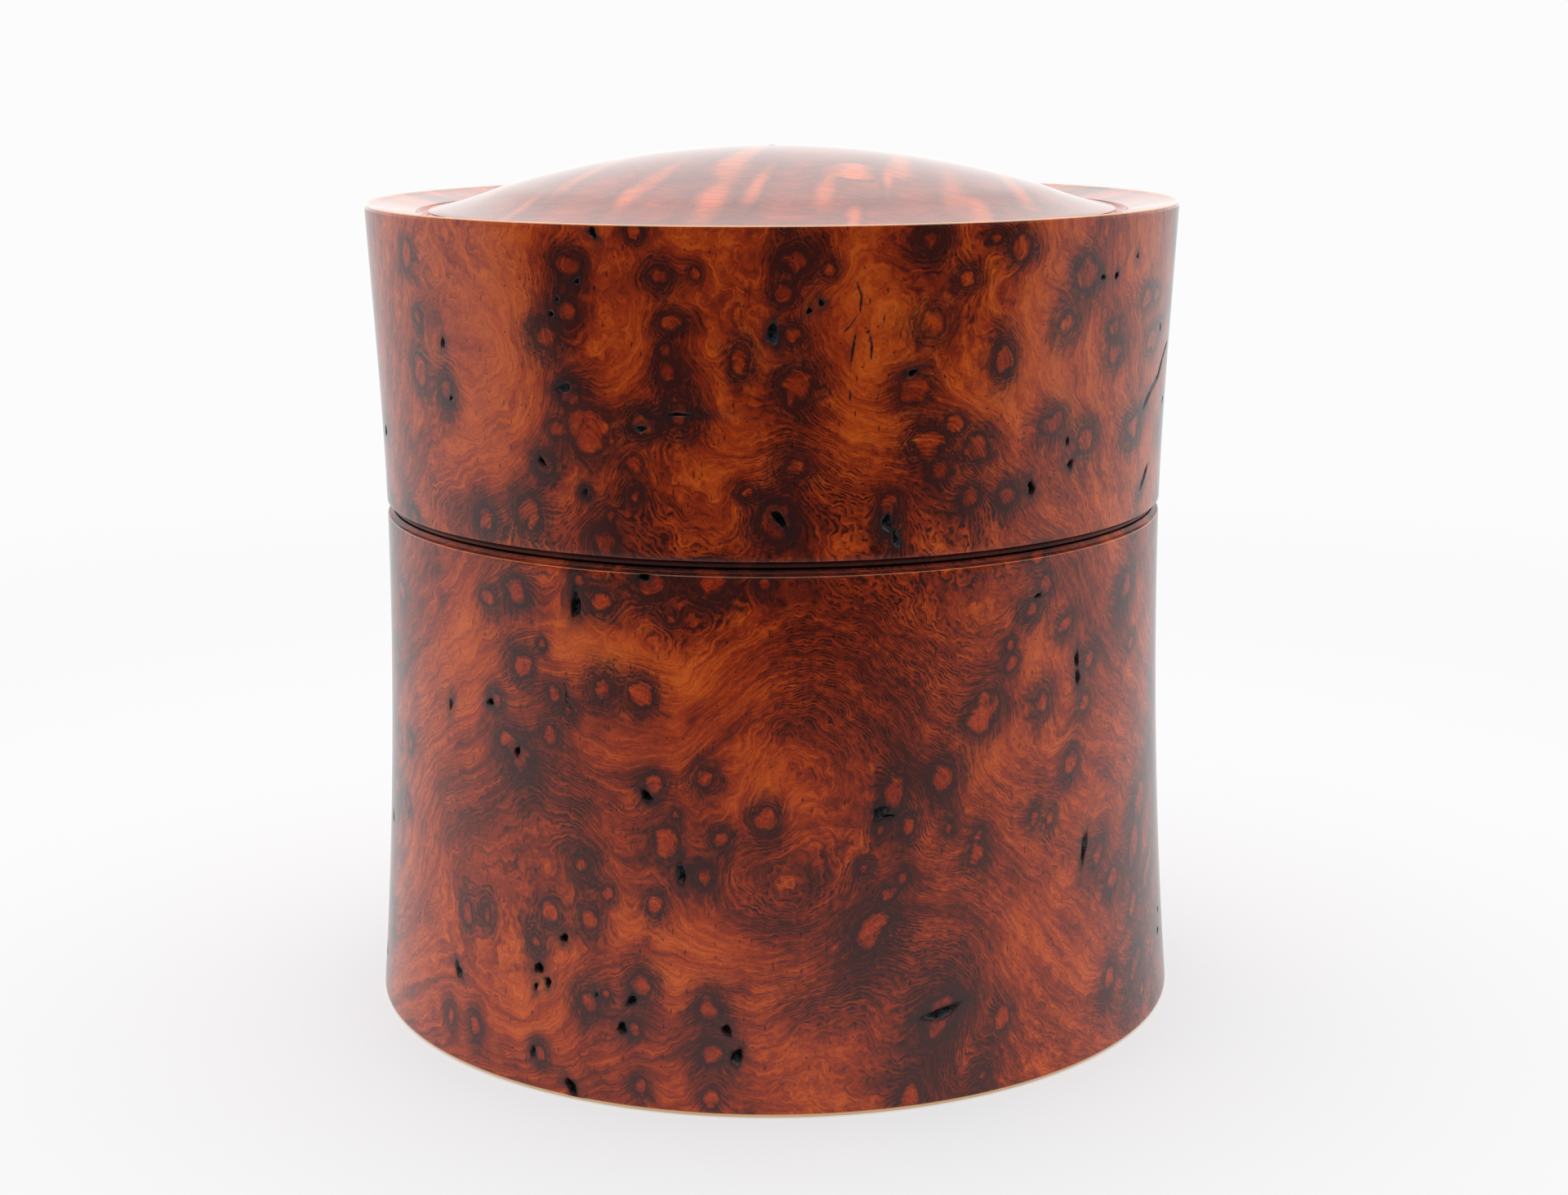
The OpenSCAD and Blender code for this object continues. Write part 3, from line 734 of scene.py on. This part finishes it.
# ---------------------------------------------------------------- shader expressions
class Wire:
    """A shader socket that takes part in Python arithmetic."""

    def __init__(self, tree, socket):
        self.tree = tree
        self.socket = socket

    def wire(self, kind, output, settings=(), **inputs):
        """One output of a new node."""
        return Wire(self.tree, add_node(self.tree, kind, settings, **inputs).outputs[output])

    def math(self, operation, *values, clamp=False):
        inputs = {f"i{i}": v for i, v in enumerate(values)}
        return self.wire("ShaderNodeMath", 0, {"operation": operation, "use_clamp": clamp}, **inputs)

    def __add__(self, other):
        return self.math("ADD", self, other)

    def __radd__(self, other):
        return self.math("ADD", other, self)

    def __sub__(self, other):
        return self.math("SUBTRACT", self, other)

    def __rsub__(self, other):
        return self.math("SUBTRACT", other, self)

    def __mul__(self, other):
        return self.math("MULTIPLY", self, other)

    def __rmul__(self, other):
        return self.math("MULTIPLY", other, self)

    def sine(self):
        return self.math("SINE", self)

    def unsigned(self):
        return self.math("ABSOLUTE", self)

    def at_least(self, other):
        return self.math("MAXIMUM", self, other)

    def clamped(self):
        return self.math("ADD", self, 0.0, clamp=True)

    def step(self, low, high, out_low=0.0, out_high=1.0):
        """Smooth step from one value to another, clamped."""
        settings = {"interpolation_type": "SMOOTHSTEP", "clamp": True}
        return self.wire("ShaderNodeMapRange", 0, settings, i0=self, i1=low, i2=high, i3=out_low, i4=out_high)

    def ramp(self, *stops):
        return self.wire("ShaderNodeValToRGB", "Color", {"stops": stops}, i0=self)

    def mix(self, colour_a, colour_b):
        """This mask's mix of two colours."""
        settings = {"data_type": "RGBA", "clamp_factor": True}
        made = add_node(self.tree, "ShaderNodeMix", settings, Factor=self)
        for name, value in (("A", colour_a), ("B", colour_b)):
            feed([s for s in made.inputs if s.name == name and s.type == "RGBA"][0], value)
        return Wire(self.tree, [s for s in made.outputs if s.type == "RGBA"][0])

    def noise(self, scale, detail, rough):
        return self.wire("ShaderNodeTexNoise", "Fac", {"noise_dimensions": "3D"}, Vector=self, Scale=scale,
                         Detail=detail, Roughness=rough, Distortion=0.0)

    def spots(self, scale, edge, chance):
        """Soft-edged dots in the middle of some cells of a random pattern."""
        cells = add_node(self.tree, "ShaderNodeTexVoronoi", {"feature": "F1"}, Vector=self, Scale=scale,
                         Randomness=1.0)
        tint = Wire(self.tree, cells.outputs["Color"])
        drawn = tint.wire("ShaderNodeSeparateColor", 0, i0=tint).step(*chance)
        return (1 - Wire(self.tree, cells.outputs["Distance"]).step(*edge)) * drawn

    def parts(self):
        """The x, y and z of a place or direction."""
        made = add_node(self.tree, "ShaderNodeSeparateXYZ", i0=self)
        return [Wire(self.tree, made.outputs[i]) for i in range(3)]

    def along_rings(self, height, pitch, drift):
        """Uneven streaks at one pitch across the growth rings, changing slowly along them."""
        x, y, z = self.parts()
        sideways = (x + y) * drift
        where = self.wire("ShaderNodeCombineXYZ", 0, i0=height * pitch, i1=sideways, i2=z * drift)
        return where.noise(1.0, 2, 0.5)

    def stretched(self, x, y, z):
        return self.wire("ShaderNodeVectorMath", "Vector", {"operation": "MULTIPLY"}, i0=self, i1=(x, y, z))


def add_node(tree, kind, settings=(), **inputs):
    """Adds a node of a type, sets it up, then gives its sockets values or links. A socket goes by
    its name, or by its number as i0, i1 and so on."""
    made = tree.nodes.new(kind)
    for key, value in dict(settings).items():
        if key == "stops":
            fill_ramp(made.color_ramp, value)
        else:
            setattr(made, key, value)
    for key, value in inputs.items():
        numbered = key[1:].isdigit()
        feed(made.inputs[int(key[1:]) if numbered else key.replace("_", " ")], value)
    return made


def feed(socket, value):
    """Links a wire to a socket, or sets the socket's own value."""
    if isinstance(value, Wire):
        value.tree.links.new(value.socket, socket)
    else:
        socket.default_value = value


def fill_ramp(ramp, stops):
    """Stops are (place, colour) pairs."""
    while len(ramp.elements) > 1:
        ramp.elements.remove(ramp.elements[-1])
    for i, (place, colour) in enumerate(stops):
        element = ramp.elements[0] if i == 0 else ramp.elements.new(place)
        element.position = place
        element.color = colour


def srgb(red, green, blue):
    """A colour given as it looks on screen, 0 to 255, in the linear values that shaders use."""
    def linear(c):
        c = c / 255
        return c / 12.92 if c <= 0.04045 else ((c + 0.055) / 1.055) ** 2.4
    return (linear(red), linear(green), linear(blue), 1.0)


ORANGE_PALE = srgb(222, 100, 32)
ORANGE = srgb(205, 82, 24)
CHESTNUT = srgb(172, 57, 20)
BROWN = srgb(126, 40, 19)
DARK_BROWN = srgb(82, 27, 17)
RING_LINE = srgb(66, 22, 15)
COLLAR = srgb(64, 27, 24)
CORE_BRIGHT = srgb(214, 80, 24)
CORE = srgb(184, 55, 19)
CORE_DARK = srgb(118, 34, 17)
PORE = srgb(44, 16, 13)
# colour of the painted highlight on the rim, mouth and foot edges
PAINTED_ARRIS_HIGHLIGHT = srgb(252, 206, 150)
# colour of the painted shade in the seam's groove
PAINTED_GROOVE_SHADE = srgb(48, 16, 11)
PIT_STAIN = srgb(46, 30, 32)
PIT_BLACK = srgb(20, 19, 21)
# colour of the painted reflections glinting in the pits
PAINTED_PIT_GLINT = srgb(82, 88, 92)
SLEEVE_TONES = (srgb(128, 72, 46), srgb(104, 56, 36), srgb(74, 38, 26))
INNER_TONES = (srgb(168, 104, 62), srgb(143, 84, 50), srgb(112, 60, 36))


class Finish:
    """A new material with its Principled shader and the wires that the pieces' finishes start from."""

    def __init__(self, name):
        self.material = bpy.data.materials.new(name)
        self.material.use_nodes = True
        self.tree = self.material.node_tree
        self.shader = self.tree.nodes["Principled BSDF"]
        start = Wire(self.tree, add_node(self.tree, "ShaderNodeTexCoord").outputs["Object"])
        self.place = start.wire("ShaderNodeVectorMath", 0, {"operation": "SCALE"}, i0=start, Scale=1 / MM)

    def stored(self, name):
        made = add_node(self.tree, "ShaderNodeAttribute", {"attribute_name": name})
        return Wire(self.tree, made.outputs["Fac"])

    def set(self, **inputs):
        for key, value in inputs.items():
            feed(self.shader.inputs[key.replace("_", " ")], value)

    def bump(self, height, distance, strength):
        depth = distance * MM
        self.set(Normal=height.wire("ShaderNodeBump", 0, Strength=strength, Distance=depth, Height=height))


# ---------------------------------------------------------------- finishes
def burl_finish(name):
    """Lacquered burl: ripples of growth rings, dark-ringed eyes with warm cores, pores and
    black-lined pits. Noises run from broad patches down to single grains."""
    burl = Finish(name)
    place = burl.place
    growth, eye, darkness = burl.stored("growth"), burl.stored("eye"), burl.stored("darkness")
    ripple, clear = burl.stored("ripple"), burl.stored("clear")
    lining, pit_glint_share, stain = burl.stored("lining"), burl.stored("pit_glint_share"), burl.stored("stain")
    groove, dull = burl.stored("groove"), burl.stored("dull")
    dome_top, arris_highlight, shade = burl.stored("dome_top"), burl.stored("arris_highlight"), burl.stored("shade")
    on_lid = place.parts()[2].step(SEAM_Z - 0.1, SEAM_Z + 0.1)
    calm = 1 - dome_top * 0.75
    free = (0.3 + 0.7 * eye.step(0.7, 2.5)) * calm

    broad = place.noise(0.07, 2, 0.5)
    patchy = place.noise(0.2, 3, 0.6)
    blotch = place.noise(0.42, 2, 0.5)
    small = place.noise(0.9, 2, 0.5)
    fine = place.noise(2.4, 2, 0.5)
    grit = place.noise(6.5, 2, 0.6)

    # streaks that follow the growth rings, from broad bands down to single fibres
    height = growth + ((patchy - 0.5) * 2.9 + (blotch - 0.5) * 0.6 + (small - 0.5) * 0.2) * free
    bands = place.along_rings(height, 0.3, 0.03).step(0.32, 0.68)
    streaks = place.along_rings(height, 1.25, 0.07).step(0.34, 0.66)
    threads = place.along_rings(height + (grit - 0.5) * 0.2, 3.6, 0.3).step(0.33, 0.67)
    fibres = place.along_rings(height + (fine - 0.5) * 0.1, 9.0, 0.8).step(0.33, 0.67)
    wavering = height + ((fine - 0.5) * 0.22 + (small - 0.5) * 0.08) * free + (grit - 0.5) * 0.12
    rings = (wavering * (2 * math.pi / RING_PITCH)).sine() * 0.5 + 0.5

    # how strongly figured the wood is here
    wild = (broad * 0.55 + patchy * 0.45).step(0.43, 0.58)
    figured = (ripple * 0.95 + wild * 0.45 - clear * 0.7).clamped() * calm
    round_eye = eye + ((blotch - 0.5) * 0.62 + (small - 0.5) * 0.46 + (fine - 0.5) * 0.16
                       + (grit - 0.5) * 0.14 + (streaks - 0.5) * 0.12) * calm
    by_eye = (1 - round_eye.step(0.9, 2.1)) * (0.3 + 0.7 * darkness)

    tone = (0.39 - on_lid * 0.1 + figured * 0.22 + (bands - 0.5) * 0.26 * calm + (streaks - 0.5) * 0.2 * calm
            + (threads - 0.5) * (0.22 - clear * 0.12) * calm + (fibres - 0.5) * (0.2 - clear * 0.08)
            + (grit - 0.5) * 0.36 + (fine - 0.5) * 0.24
            + (patchy - 0.5) * 0.4 + (blotch - 0.5) * 0.3 + by_eye * 0.13 - clear * 0.13 + dome_top * 0.28)
    ground = tone.ramp(
        (0.0, ORANGE_PALE), (0.2, ORANGE), (0.42, CHESTNUT), (0.68, BROWN), (1.0, DARK_BROWN))

    broken = (0.25 + place.noise(1.6, 2, 0.5).step(0.36, 0.62)) * (0.65 + fibres * 0.5)
    line_dark = (1 - rings.step(0.1, 0.95)) * (figured * 0.85 + by_eye * 0.4 * calm) * broken
    thread_dark = (threads * 0.6 + fibres * 0.4) * (0.08 + figured * 0.14 + by_eye * 0.3) * calm
    lined = (line_dark + thread_dark).clamped().mix(ground, RING_LINE)

    # the eyes: a warm core, a dark grey-purple ring, fading outwards in fine rings
    core_edge = 0.3 + patchy.step(0.3, 0.7) * 0.34
    from_edge = round_eye - core_edge
    core = 1 - from_edge.step(-0.36, 0.12)
    inside = from_edge.step(-0.2, 0.14)
    collar = inside * (1 - round_eye.step(0.82, 1.36))
    ruffled = round_eye + (fine - 0.5) * 0.16
    eye_rings = (ruffled * (2 * math.pi / EYE_RING_PITCH)).sine() * 0.5 + 0.5
    fading = 1 - round_eye.step(1.1, 2.0)
    outer_rings = eye_rings.step(0.3, 1.0) * fading * inside * darkness * 0.36 * broken
    uneven = 0.6 + 0.46 * eye_rings + (small - 0.5) * 1.2
    collar_tone = (collar * (0.1 + 0.06 * on_lid + 0.7 * darkness) * uneven + outer_rings).clamped()
    core_colour = (small * 0.35 + grit * 0.25 + threads * 0.16 + eye_rings * 0.24).ramp(
        (0.22, CORE_BRIGHT), (0.5, CORE), (0.8, CORE_DARK))
    core_tone = core * (0.86 - on_lid * 0.34 - 0.2 * darkness) * (0.7 + 0.6 * blotch) * (1 - dome_top)
    cored = core_tone.mix(lined, core_colour)
    near_edge = (from_edge - 0.1).unsigned()
    halo = ((1 - near_edge.step(0.03, 0.19)) * (0.35 + 0.5 * darkness) * calm).clamped()
    ringed = (1 - (1 - collar_tone * calm) * (1 - halo)).mix(cored, COLLAR)
    streaked = ((1 - from_edge.step(-0.4, 0.38)) * dome_top * (0.35 + 0.9 * darkness)).clamped().mix(
        ringed, (threads * 0.5 + small * 0.5).ramp((0.25, ORANGE_PALE), (0.6, ORANGE)))

    # pores: short dark dashes that run up the wall, and dots
    dashes = place.stretched(1, 1, 0.28)
    dash = dashes.spots(1.45, (0.07, 0.17), (0.36, 0.4)) * (1 - dome_top)
    dots = place.spots(0.95, (0.07, 0.13), (0.5, 0.54))
    specks = place.spots(2.1, (0.08, 0.2), (0.44, 0.48))
    pored = ((dash + dots) * 0.78 + specks * 0.5).clamped().mix(streaked, PORE)

    # painted highlight on the rim, mouth and foot edges
    edged = arris_highlight.mix(pored, PAINTED_ARRIS_HIGHLIGHT)
    # painted shade in the seam's groove
    shaded = shade.mix(edged, PAINTED_GROOVE_SHADE)
    stained = (stain * (0.1 + 1.1 * small + (fine - 0.5) * 0.6)).clamped().mix(shaded, PIT_STAIN)
    ragged = (lining + ((grit - 0.5) * 0.7 + (fine - 0.5) * 0.7) * (1 - lining * 0.5)).step(0.3, 0.75)
    # Painted reflection: greyish glints in the black lining of some pits stand in for the surround mirrored
    # in their lacquer.
    glint = pit_glint_share * (small * 0.5 + grit * 0.5).step(0.44, 0.58)
    colour = ragged.mix(stained, glint.mix(PIT_BLACK, PAINTED_PIT_GLINT))

    burl.set(Base_Color=colour, Roughness=(0.45 - 0.1 * fine + lining * 0.1), IOR=1.45,
             Specular_IOR_Level=0.12, Coat_Weight=1 - (groove * 0.7 + dull * 0.85).clamped(),
             Coat_Roughness=0.03, Coat_IOR=1.5)
    burl.bump(broad * 0.25 + fine * 0.04 - (dash + dots).clamped() * 0.35, 0.02, 0.3)
    return burl.material


def plain_wood(name, pale, mid, dark, coat):
    """Plain-grained turned wood with a satin finish."""
    wood = Finish(name)
    place = wood.place
    along = place.stretched(0.12, 1.0, 1.0)
    waver = along.noise(0.16, 3, 0.5)
    _, y, z = place.parts()
    year = ((y * 1.0 + z * 0.35 + (waver - 0.5) * 9) * (2 * math.pi / 2.6)).sine() * 0.5 + 0.5
    fibre = place.stretched(0.06, 1.6, 1.6).noise(1.4, 4, 0.65)
    tone = year * 0.4 + fibre * 0.6
    ground = tone.ramp((0.2, pale), (0.5, mid), (0.82, dark))
    pores = place.stretched(0.16, 1.3, 1.3).spots(1.6, (0.08, 0.2), (0.45, 0.5))
    colour = (pores * 0.7).mix(ground, tuple(c * 0.35 for c in dark[:3]) + (1.0,))
    wood.set(Base_Color=colour, Roughness=(0.4 + fibre * 0.14), IOR=1.45, Coat_Weight=coat,
             Coat_Roughness=0.22, Coat_IOR=1.5)
    wood.bump(fibre * 0.5 - pores * 0.8, 0.03, 0.5)
    return wood.material


# ---------------------------------------------------------------- camera, floor and light
def aim_camera():
    """Camera a little above the rim, looking slightly down."""
    data = bpy.data.cameras.new("camera")
    data.sensor_width = 36.0
    data.lens = 58.6
    data.clip_start, data.clip_end = 0.01, 20.0
    camera = bpy.data.objects.new("camera", data)
    bpy.context.scene.collection.objects.link(camera)
    pitch, yaw, roll = math.radians(12.16), math.radians(0.235), math.radians(-0.2)
    forward = Vector((math.sin(yaw) * math.cos(pitch), math.cos(yaw) * math.cos(pitch), -math.sin(pitch)))
    right = Vector((math.cos(yaw), -math.sin(yaw), 0))
    up = right.cross(forward)
    right_rolled = right * math.cos(roll) + up * math.sin(roll)
    up_rolled = up * math.cos(roll) - right * math.sin(roll)
    turn = Matrix((right_rolled, up_rolled, -forward)).transposed().to_4x4()
    camera.matrix_world = Matrix.Translation(Vector((0, -268.8, 99.25)) * MM) @ turn
    bpy.context.scene.camera = camera


def lay_floor():
    """A pale floor whose edge melts into the white surround. It partly glows, a painted light that lifts its
    shadows. To every ray but the camera's it is dimmed, and towards the open front it turns to a near-black
    glow, a painted shade so the lacquer mirrors little there.
    """
    radius, rings, around = 1400.0, 14, 96
    bm = bmesh.new()
    centre = bm.verts.new((0, 0, 0))
    previous = None
    for i in range(1, rings + 1):
        r = radius * (i / rings) ** 2 * MM
        ring = [bm.verts.new((r * math.cos(a), r * math.sin(a), 0))
                for a in np.linspace(0, 2 * math.pi, around, endpoint=False)]
        for k in range(around):
            n = (k + 1) % around
            if previous is None:
                bm.faces.new((centre, ring[k], ring[n]))
            else:
                bm.faces.new((previous[k], ring[k], ring[n], previous[n]))
        previous = ring
    mesh = bpy.data.meshes.new("floor")
    bm.to_mesh(mesh)
    bm.free()
    floor = bpy.data.objects.new("floor", mesh)
    bpy.context.scene.collection.objects.link(floor)
    finish = Finish("floor_white")
    place = finish.place
    finish.set(Base_Color=srgb(236, 236, 238), Roughness=0.6, Specular_IOR_Level=0.1)
    away = place.wire("ShaderNodeVectorMath", "Value", {"operation": "LENGTH"}, i0=place)
    fade = away.step(90, 330).mix(srgb(240, 240, 242), srgb(252, 252, 253))
    glow = place.wire("ShaderNodeEmission", 0, Color=fade, Strength=1.0)
    matt = Wire(finish.tree, finish.shader.outputs[0])
    # painted light: the floor partly glows, which lifts its shadows
    paper_and_glow = place.wire("ShaderNodeMixShader", 0, i0=away.step(60, 300, 0.55, 1.0), i1=matt, i2=glow)
    # painted shade: to every ray but the camera's the floor is dimmed to 0.7, and towards the open front it
    # turns to a near-black glow, so the lacquer has little to mirror there; the camera sees the pale floor
    # throughout
    front = place.parts()[1].step(-265, -20)
    direct = place.wire("ShaderNodeLightPath", "Is Camera Ray")
    dark = place.wire("ShaderNodeEmission", 0, Color=(0.02, 0.02, 0.02, 1.0), Strength=1.0)
    kept = front.at_least(direct) * (0.7 + 0.3 * direct)
    ended = place.wire("ShaderNodeMixShader", 0, i0=kept, i1=dark, i2=paper_and_glow)
    feed(finish.tree.nodes["Material Output"].inputs["Surface"], ended)
    mesh.materials.append(finish.material)


def light_studio():
    """A white tent: bright behind, above and at the sides, dim towards the open front."""
    world = bpy.data.worlds.new("tent")
    bpy.context.scene.world = world
    world.use_nodes = True
    tree = world.node_tree
    tree.nodes.clear()
    direction = Wire(tree, add_node(tree, "ShaderNodeTexCoord").outputs["Generated"])
    x, y, z = direction.parts()
    back = (y + 0.18 * z + 0.04 * x).step(-0.84, 0.72)
    path = add_node(tree, "ShaderNodeLightPath")
    fill = Wire(tree, path.outputs["Is Diffuse Ray"]) * (1 - back) * (0.44 - 0.14 * x)
    strength = back * 1.12 + z.step(0.35, 0.9) * 0.9 + 0.02 + fill
    lit = direction.wire("ShaderNodeBackground", 0, Color=(1.0, 0.995, 0.985, 1.0), Strength=strength)
    seen = direction.wire("ShaderNodeBackground", 0, Color=srgb(252, 252, 253), Strength=1.0)
    direct = Wire(tree, path.outputs["Is Camera Ray"])
    blend = direction.wire("ShaderNodeMixShader", 0, i0=direct, i1=lit, i2=seen)
    add_node(tree, "ShaderNodeOutputWorld", Surface=blend)
    bpy.context.scene.view_settings.view_transform = "Standard"


# ---------------------------------------------------------------- pieces
def place_piece(piece, body, node, material):
    piece.data.materials.append(material)
    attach(piece, body)
    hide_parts(node)


def make_caddy():
    angles = columns_round(FRONT_STEP, BACK_STEP)
    even = np.linspace(0, 2 * math.pi, 192, endpoint=False)
    burl = burl_finish("burl_lacquered")
    sleeve_wood = plain_wood("sleeve_wood_oiled", *SLEEVE_TONES, 0.35)
    inner_wood = plain_wood("inner_wood_satin", *INNER_TONES, 0.5)

    pot = turned("pot", body_profile(), angles)
    pits = BODY_PITS + wild_pits(24, 4, 48)
    dent(pot, pits, BODY_CRACKS, 0.4, SEAM_Z - BODY_COVE_H)
    figure(pot)
    place_piece(pot, "caddy_body", "body", burl)

    cover = turned("domed_lid", lid_profile(), angles)
    pits = LID_PITS + wild_pits(16, 57, 80)
    dent(cover, pits, LID_CRACKS, SEAM_Z + SEAM_GAP + LID_COVE_H, RIM_Z - RIM_ROUND)
    figure(cover)
    place_piece(cover, "lid", "lid", burl)

    sleeve = turned("neck_tube", sleeve_profile(), even)
    place_piece(sleeve, "caddy_body", "neck_sleeve", sleeve_wood)
    inner = turned("inner_cover", inner_lid_profile(), even)
    place_piece(inner, "inner_lid", "inner_lid", inner_wood)
    knob = turned("inner_knob", knob_profile(), np.linspace(0, 2 * math.pi, 96, endpoint=False))
    place_piece(knob, "inner_lid", "inner_lid_knob", inner_wood)


aim_camera()
lay_floor()
light_studio()
make_caddy()
